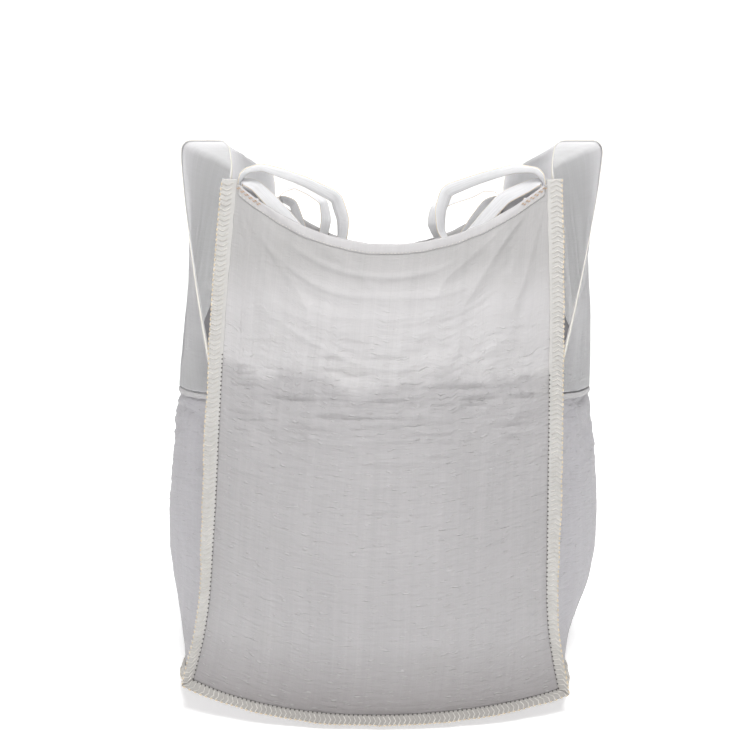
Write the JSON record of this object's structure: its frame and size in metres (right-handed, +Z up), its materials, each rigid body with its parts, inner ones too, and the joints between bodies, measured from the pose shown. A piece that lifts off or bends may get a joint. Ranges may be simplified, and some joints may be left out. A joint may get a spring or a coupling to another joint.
{
  "type": "bulk bag",
  "caption": "Open-top woven bulk bag, shaped as if full, with a fork sleeve along each side, overlocked seams and webbing corner loops that swing up.",
  "frame": {"origin": "middle of the overall box's foot, on the plane of the flat part of the base", "axes": "+Z up, +Y from the front end panel to the back one, along the fork sleeves, +X to the right seen from the front"},
  "size_m": [1.2335, 1.0614, 1.4128],
  "materials": {
    "end_cloth": "woven polypropylene, matt with a faint sheen",
    "side_cloth": "woven polypropylene, matt with a faint sheen",
    "sleeve_cloth": "woven polypropylene, matt with a faint sheen",
    "hem": "folded woven cloth with a row of stitches",
    "binding": "folded strip, overlocked",
    "seam_allowance": "doubled cloth with overlock stitches",
    "webbing": "woven polypropylene webbing"
  },
  "bodies": {
    "bag": {"back_bottom_seam": "seam_allowance", "back_left_loop_ends": "webbing", "back_left_seam": "seam_allowance", "back_panel": "end_cloth", "back_right_loop_ends": "webbing", "back_right_seam": "seam_allowance", "back_rim_hem": "hem", "base_panel": "side_cloth", "front_bottom_seam": "seam_allowance", "front_left_loop_ends": "webbing", "front_left_seam": "seam_allowance", "front_panel": "end_cloth", "front_right_loop_ends": "webbing", "front_right_seam": "seam_allowance", "front_rim_hem": "hem", "left_bottom_seam": "seam_allowance", "left_panel": "side_cloth", "left_sleeve": "sleeve_cloth", "left_sleeve_back_binding": "binding", "left_sleeve_front_binding": "binding", "left_sleeve_hem": "hem", "right_bottom_seam": "seam_allowance", "right_panel": "side_cloth", "right_sleeve": "sleeve_cloth", "right_sleeve_back_binding": "binding", "right_sleeve_front_binding": "binding", "right_sleeve_hem": "hem"},
    "front_left_loop": {"front_left_loop": "webbing"},
    "front_right_loop": {"front_right_loop": "webbing"},
    "back_left_loop": {"back_left_loop": "webbing"},
    "back_right_loop": {"back_right_loop": "webbing"}
  },
  "joints": [
    {"name": "front_left_loop_swing", "type": "hinge", "parent": "bag", "child": "front_left_loop", "pos_m": [-0.3132, -0.4075, 1.35], "axis": [0, -1, 0], "range_deg": [0, 120]},
    {"name": "front_right_loop_swing", "type": "hinge", "parent": "bag", "child": "front_right_loop", "pos_m": [0.3588, -0.4075, 1.35], "axis": [0, 1, 0], "range_deg": [0, 120]},
    {"name": "back_left_loop_swing", "type": "hinge", "parent": "bag", "child": "back_left_loop", "pos_m": [-0.3132, 0.4075, 1.35], "axis": [0, -1, 0], "range_deg": [0, 120]},
    {"name": "back_right_loop_swing", "type": "hinge", "parent": "bag", "child": "back_right_loop", "pos_m": [0.3588, 0.4075, 1.35], "axis": [0, 1, 0], "range_deg": [0, 120]}
  ]
}
